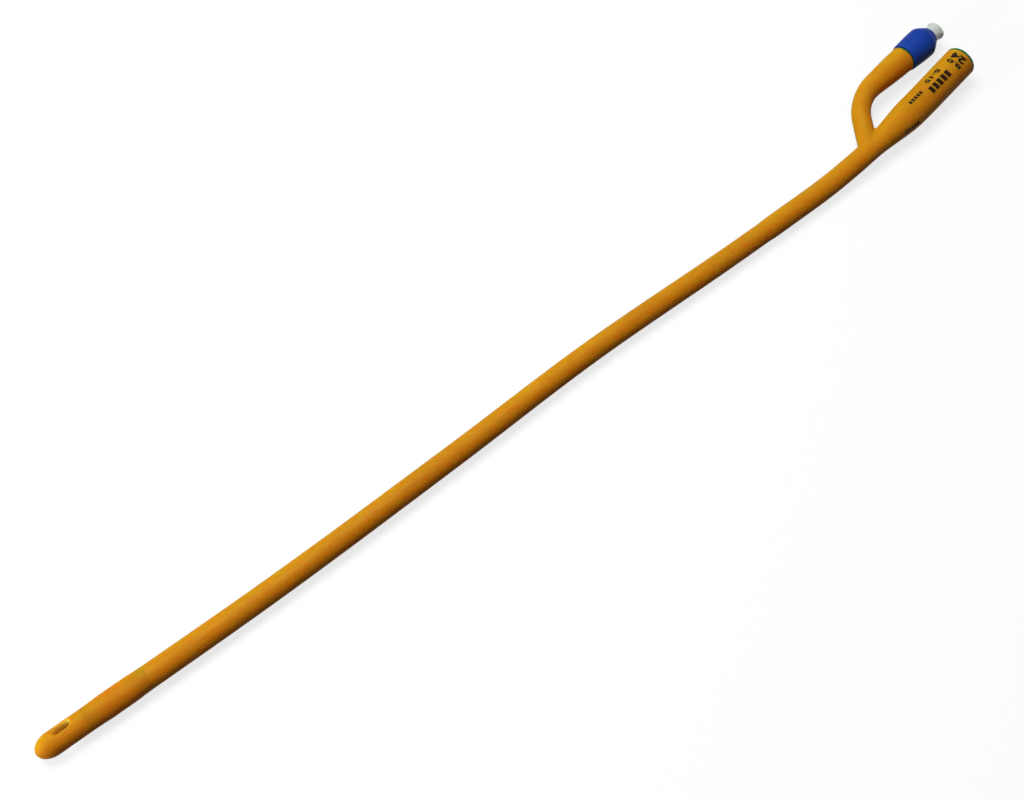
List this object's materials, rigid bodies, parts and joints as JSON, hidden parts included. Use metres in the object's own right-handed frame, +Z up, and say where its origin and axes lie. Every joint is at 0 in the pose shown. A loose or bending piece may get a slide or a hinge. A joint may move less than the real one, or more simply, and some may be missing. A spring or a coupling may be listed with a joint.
{
  "type": "foley urinary catheter",
  "caption": "Two-way latex Foley catheter: eyed tip, balloon sleeve, long shaft, drainage funnel and an inflation arm with a colour-coded spring valve.",
  "frame": {"origin": "bottom centre of the bounding box, on the surface that the catheter lies on", "axes": "+X along the funnel's axis, from the tip's end towards the funnel's mouth; +Y towards the inflation arm's side; +Z up"},
  "size_m": [0.4254, 0.0716, 0.0128],
  "materials": {
    "amber_latex": "satin",
    "balloon_latex": "satin",
    "blue_rubber": "satin",
    "clear_white_plastic": "satin",
    "white_acetal": "satin",
    "black_seal_rubber": "matte",
    "spring_steel": "polished"
  },
  "bodies": {
    "catheter": {"catheter_body": "amber_latex", "balloon_sleeve": "balloon_latex", "valve_sleeve": "blue_rubber", "valve_housing": "clear_white_plastic", "valve_spring": "spring_steel", "valve_retainer": "white_acetal"},
    "plunger": {"valve_plunger": "white_acetal", "valve_seal": "black_seal_rubber"}
  },
  "joints": [
    {"name": "plunger_press", "type": "slide", "parent": "catheter", "child": "plunger", "axis": [-0.9974, 0.0715, 0], "range_m": [0, 0.002], "stiffness_N_per_m": 400, "springref_m": -0.0015, "deforming": ["valve_spring"]}
  ]
}
